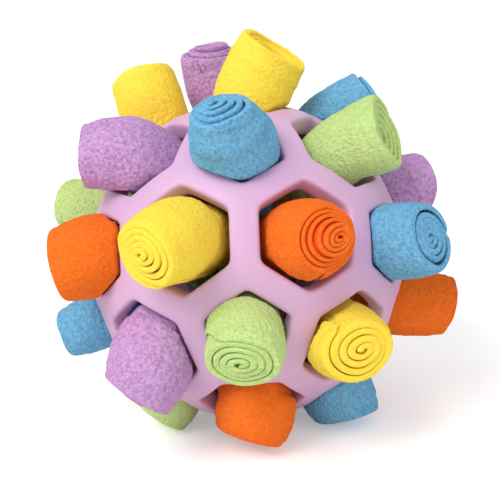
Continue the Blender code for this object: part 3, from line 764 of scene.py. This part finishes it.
class WoundStrip:
    # a strip of fleece as columns of points, from its core to its free end: how far out (r), at what
    # angle (phi) and how far along the roll (z); q is the share of the roll's width
    def __init__(self, roll, path, seed):
        self.roll, self.path, self.seed = roll, path, seed
        self.half = (roll["pitch"] - roll["slack"]) / 2
        self.radius = roll["tip"] / 1000 - self.half
        turns = (self.radius - fleece["coreRadius"]) / roll["pitch"]
        self.angles, self.lips, self.end = stripColumns(turns, roll["pitch"])
        self.heights, self.sides = stripRing(path.length, path.inside)
        self.angle = math.radians(roll["edge"]) + roll["winds"] * (self.angles - self.end)
        self.spiral = fleece["coreRadius"] + roll["pitch"] * self.angles / math.tau
        self.q = (self.spiral / self.radius)[:, None]
        self.wind()
        self.shapeEnd()
        self.fillOut()
        self.squeeze()

    def wind(self):
        # the free end is pressed thin against the turn below, which swells a little beside it
        h = self.sides[None, :] * self.lips[:, None]
        fromTurn = self.angles - (self.end - math.tau)
        thin = smoothStep((self.angles - (self.end - fleece["freeEnd"])) / fleece["freeEnd"])
        pressed = thin[:, None] * fleece["freeEndPress"]
        swell = np.exp(-(fromTurn / fleece["swellAngle"]) ** 2) * (fromTurn > 0)
        swell = (swell * smoothStep(fromTurn / fleece["swellRise"]))[:, None] * fleece["swell"]
        self.r = (self.spiral[:, None] - pressed * self.half + h * self.half * (1 - pressed)
                  + swell * np.clip(h, 0, 1))
        self.z = np.broadcast_to(self.heights[None, :], self.r.shape).copy()
        outerTurn = smoothStep(fromTurn / (math.tau * fleece["slantTurns"]))[:, None]
        self.phi = self.angle[:, None] + outerTurn * self.roll["slant"] * (self.z / self.path.length - 1)

    def shapeEnd(self):
        # the turns stand out or sink in towards the core, each a little on its own
        roll, q, start = self.roll, self.q, fleece["endStart"]
        self.late = smoothStep((self.z - start) / (self.path.length - start))
        own = [noise.noise((a * fleece["ownTurn"], self.seed * 3.7, 0.5)) for a in self.angles]
        far = fleece["waveTurn"]
        wave = [noise.noise((math.cos(a) * far, math.sin(a) * far, self.seed * 2.3)) for a in self.angle]
        own, wave = np.array(own)[:, None], np.array(wave)[:, None]
        cone = (1 - np.maximum(q, roll["flat"])) / (1 - roll["flat"])
        step = roll["step"][0] / 1000 * smoothStep((roll["step"][1] - q) / fleece["stepEase"])
        self.rise = roll["cone"] * cone ** fleece["coneCurve"] + step
        corner = smoothStep((self.angles - (self.end - fleece["cornerAngle"])) / fleece["cornerAngle"])
        self.z += self.late * (self.rise + roll["steps"] * own + roll["wave"] * wave * q
                               - fleece["cornerDrop"] * corner[:, None] ** 2)
        below = self.end - math.tau * fleece["looseTurns"] - self.angles
        inside = smoothStep(below / fleece["looseEase"])[:, None]
        self.r = self.r * (1 - roll["loose"] * inside * self.late)

    def fillOut(self):
        # its width along the roll, with soft lumps
        marks, shares = rollProfile(self.path, self.roll)
        width = alongProfile(marks, shares, self.z)
        far = fleece["lumpTurn"]
        lumps = np.empty(self.r.shape)
        for j, a in enumerate(self.angle):
            for k, along in enumerate(self.heights):
                lumps[j, k] = noise.noise((far * math.cos(a) + self.seed * 5.1, far * math.sin(a),
                                           along / fleece["lumpLength"]))
        self.r = self.r * width * (1 + fleece["lumps"] * lumps)
        self.outer = (self.radius + self.half) * width[-1] * (1 + fleece["lumps"] * 0.5)

    def squeeze(self):
        # pressed into its opening, and inside the ball no wider than what comes out through it
        gauge = np.radians(np.arange(0, 360, fleece["gaugeStep"]))
        room = self.path.room(self.heights, gauge)
        tightest = self.path.room(np.linspace(*fleece["neck"], fleece["neckRows"]), gauge).min(axis=0)
        room = np.where(self.heights[:, None] < 0, np.minimum(room, tightest), room)
        allRound, ease = np.append(gauge, math.tau), fleece["squeezeEase"]
        for k, outer in enumerate(self.outer):
            free = np.interp(np.mod(self.phi[:, k], math.tau), allRound, np.append(room[k], room[k][0]))
            tight = np.clip((1 - free / outer) / ease, -30, 30)
            self.r[:, k] *= 1 - ease * np.log1p(np.exp(tight)) * np.clip(self.r[:, k] / outer, 0, 1)

    def points(self):
        # made oval, with its core off the middle, bent along its path and pressed flat by the ground
        roll, start, q = self.roll, fleece["ovalStart"], self.q
        x, y = self.r * np.sin(self.phi), self.r * np.cos(self.phi)
        at = math.radians(roll["ovalAt"])
        oval = 1 + (roll["oval"] - 1) * smoothStep((self.z - start) / (self.path.length - start))
        near, fade = fleece["coreOvalFade"]
        oval = oval * (1 + (roll["coreOval"] - 1) * (1 - smoothStep((q - near) / fade)))
        stretch = np.sqrt(oval)
        a, b = x * math.cos(at) + y * math.sin(at), -x * math.sin(at) + y * math.cos(at)
        a, b = a * stretch, b / stretch
        x, y = a * math.cos(at) - b * math.sin(at), a * math.sin(at) + b * math.cos(at)
        inwards = (1 - smoothStep(q)) * self.late / 1000
        x, y = x + roll["drift"][0] * inwards, y + roll["drift"][1] * inwards
        points = self.path.place(x, y, self.z)
        up = points[..., 2]
        points[..., 2] = (up + np.sqrt(up ** 2 + fleece["groundEase"] ** 2)) / 2
        return points

    def marks(self):
        # where the nap is free to stand up, and where the deeper colour is painted as shade between two
        # turns
        first = self.end - math.tau * fleece["shownTurns"]
        outermost = smoothStep((self.angles - first) / fleece["shownEase"])[:, None]
        outFace, inFace = self.sides[None, :] > 0.99, self.sides[None, :] < -0.99
        tipCut, least = 1 - np.abs(self.sides)[None, :], fleece["hiddenNap"]
        shown = np.where(outFace, np.maximum(outermost, least), tipCut * 0.6 + least)
        # painted shade in the grooves: darker the further below the cut end
        sunk = smoothStep((self.path.length + self.rise - self.z) / fleece["grooveShadeDepth"])
        fold = np.where(outFace, sunk * (1 - outermost), np.where(inFace, sunk, 0))
        return {"fold": fold, "shown": shown}

    def flatSize(self):
        # the strip's width and its length when it is unrolled
        length = float(np.hypot(np.diff(self.spiral), self.spiral[:-1] * np.diff(self.angles)).sum())
        return self.path.length + self.path.inside, length


def addRoll(name, roll, seed):
    roll, body = {**usual, **roll}, "roll_" + name
    strip = WoundStrip(roll, RollPath(roll), seed)
    thing = clothMesh("fleece_" + name, strip.points(), strip.marks())
    tufts = thing.modifiers.new("Nap", "NODES")
    tufts.node_group = nap
    setInputs(tufts, {"Tuft Size": fleece["tuftSize"], "Depth": fleece["napDepth"],
                      "Material": fleeces[roll["colour"]]})
    bakeModifiers(thing)
    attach(thing, body)
    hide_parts("fleece_roll_" + name)
    stripWidth, stripLength = strip.flatSize()
    return stripWidth, stripLength


def clothMesh(name, points, marks):
    columns, ring = points.shape[:2]
    index = np.arange(columns * ring).reshape(columns, ring)
    after = np.roll(index, -1, axis=1)
    faces = np.stack([index[:-1], after[:-1], after[1:], index[1:]], -1).reshape(-1, 4)
    flatPoints = points.reshape(-1, 3)
    centred = flatPoints - flatPoints.mean(0)
    tri = np.concatenate([faces[:, [0, 1, 2]], faces[:, [0, 2, 3]]])
    crossed = np.cross(centred[tri[:, 1]], centred[tri[:, 2]])
    volume = np.einsum("ij,ij->i", centred[tri[:, 0]], crossed).sum()
    allFaces = faces.tolist() + [index[0, ::-1].tolist(), index[-1].tolist()]
    if volume < 0:
        allFaces = [face[::-1] for face in allFaces]
    mesh = bpy.data.meshes.new(name)
    mesh.from_pydata(flatPoints.tolist(), [], allFaces)
    for mark, values in marks.items():
        values = np.broadcast_to(values, points.shape[:2]).reshape(-1).astype(np.float32)
        mesh.attributes.new(mark, "FLOAT", "POINT").data.foreach_set("value", values)
    smoothShade(mesh)
    return addObject(name, mesh)


stripSizes = {}
for number, (name, roll) in enumerate(rolls.items()):
    stripSizes[name] = addRoll(name, roll, number)
cloths = [t for t in bpy.data.objects if t.type == "MESH" and t.name.startswith("fleece_")]
total = sum(len(t.data.polygons) for t in cloths)
print("rolls made,", len(rolls), "strips,", total, "faces")
widths, lengths = zip(*stripSizes.values())
print("strips", round(min(widths), 4), "to", round(max(widths), 4), "wide,",
      round(min(lengths), 4), "to", round(max(lengths), 4), "long")


studio = {
    "floorSize": 6.0, "worldLight": 0.64, "keyPower": 7.2, "keySize": 0.6, "keyFrom": (-0.5, -0.6, 0.75),
    "fillPower": 2.0, "fillSize": 0.9, "fillFrom": (0.8, -0.9, 0.35),
    "floorGrain": 40.0, "floorShade": (0.93, 0.95), "floorRoughness": 0.9,
    "glowFrom": 0.12, "glowTo": 1.2, "glow": (0.3, 0.55),
}


def addFloor():
    mesh = bpy.data.meshes.new("floor")
    half = studio["floorSize"] / 2
    corners = [(-half, -half, 0), (half, -half, 0), (half, half, 0), (-half, half, 0)]
    mesh.from_pydata(corners, [], [(0, 1, 2, 3)])
    floor = addObject("floor", mesh)
    made, tree, shader = newMaterial("paleFloor")
    place = addNode(tree, "ShaderNodeTexCoord").outputs["Object"]
    grain = noiseNode(tree, place, studio["floorGrain"])["Fac"]
    tint = addNode(tree, "ShaderNodeMapRange", {
        "Value": grain, "To Min": studio["floorShade"][0], "To Max": studio["floorShade"][1]})
    tree.links.new(tint.outputs["Result"], shader.inputs["Base Color"])
    shader.inputs["Roughness"].default_value = studio["floorRoughness"]
    shader.inputs["Emission Color"].default_value = (1, 1, 1, 1)
    # the floor brightens away from the object, so that it meets the backdrop without an edge
    away = addNode(tree, "ShaderNodeVectorMath", {0: place}, operation="LENGTH").outputs["Value"]
    glow = addNode(tree, "ShaderNodeMapRange", {
        "Value": away, "From Min": studio["glowFrom"], "From Max": studio["glowTo"],
        "To Min": studio["glow"][0], "To Max": studio["glow"][1]}).outputs["Result"]
    seen = addNode(tree, "ShaderNodeLightPath").outputs["Is Camera Ray"]
    tree.links.new(mathNode(tree, "MULTIPLY", seen, glow), shader.inputs["Emission Strength"])
    floor.data.materials.append(made)


def addLamp(name, power, size, place):
    lamp = bpy.data.lights.new(name, "AREA")
    lamp.shape = "DISK"
    lamp.size = size
    lamp.energy = power
    thing = addObject(name, lamp)
    thing.location = ballCentre + Vector(place)
    thing.rotation_euler = Vector(place).to_track_quat("Z", "Y").to_euler()


def addWorld():
    world = bpy.data.worlds.new("studio")
    bpy.context.scene.world = world
    world.use_nodes = True
    tree = world.node_tree
    tree.nodes.clear()
    path = addNode(tree, "ShaderNodeLightPath")
    seen = mathNode(tree, "MAXIMUM", path.outputs["Is Camera Ray"], mathNode(
        tree, "MAXIMUM", path.outputs["Is Glossy Ray"], path.outputs["Is Transmission Ray"]))
    strength = addNode(tree, "ShaderNodeMapRange", {
        "Value": seen, "To Min": studio["worldLight"], "To Max": 1.0})
    light = addNode(tree, "ShaderNodeBackground", {
        "Color": (1, 1, 1, 1), "Strength": strength.outputs["Result"]})
    addNode(tree, "ShaderNodeOutputWorld", {"Surface": light.outputs[0]})


addFloor()
addLamp("keyLamp", studio["keyPower"], studio["keySize"], studio["keyFrom"])
addLamp("fillLamp", studio["fillPower"], studio["fillSize"], studio["fillFrom"])
addWorld()
bpy.context.scene.view_settings.view_transform = "Standard"
print("floor and light set")
